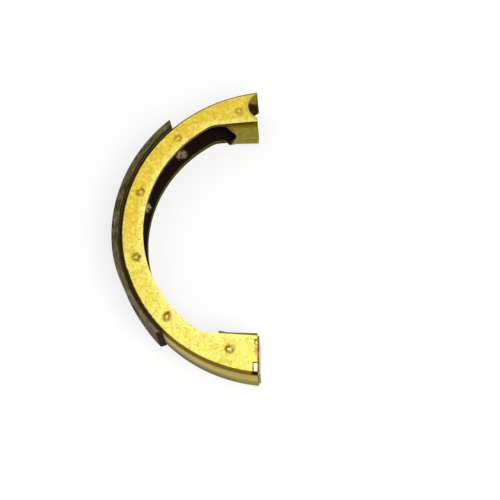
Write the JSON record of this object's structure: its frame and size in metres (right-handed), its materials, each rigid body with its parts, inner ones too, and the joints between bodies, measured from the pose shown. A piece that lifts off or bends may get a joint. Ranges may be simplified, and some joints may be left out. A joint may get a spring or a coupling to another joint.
{
  "type": "drum brake shoe",
  "caption": "Pressed steel drum brake shoe with a half-round pivot seat at one end, a hardened cam pad at the other and a riveted friction lining.",
  "frame": {"origin": "on the drum's axis, at the shoe's mid-width", "axes": "+Z along the drum's axis; +Y towards the anchor pin end, -Y towards the cam end; the lining faces -X"},
  "size_m": [0.0914, 0.1908, 0.0272],
  "materials": {
    "plated_steel": "yellow-passivated zinc plate, mottled and lightly grained, dark where the plating did not reach inside",
    "saddle_steel": "plain bearing steel, dulled",
    "wear_steel": "bare hardened steel, bright",
    "friction_lining": "moulded friction material, dark olive grey, grainy",
    "rivet_brass": "smooth bright brass"
  },
  "bodies": {
    "root": {"outer_channel": "plated_steel", "inner_channel": "plated_steel", "pivot_saddle": "saddle_steel", "cam_wear_plate": "wear_steel", "lining": "friction_lining", "rivet_1": "rivet_brass", "rivet_2": "rivet_brass", "rivet_3": "rivet_brass", "rivet_4": "rivet_brass", "rivet_5": "rivet_brass"}
  },
  "joints": []
}
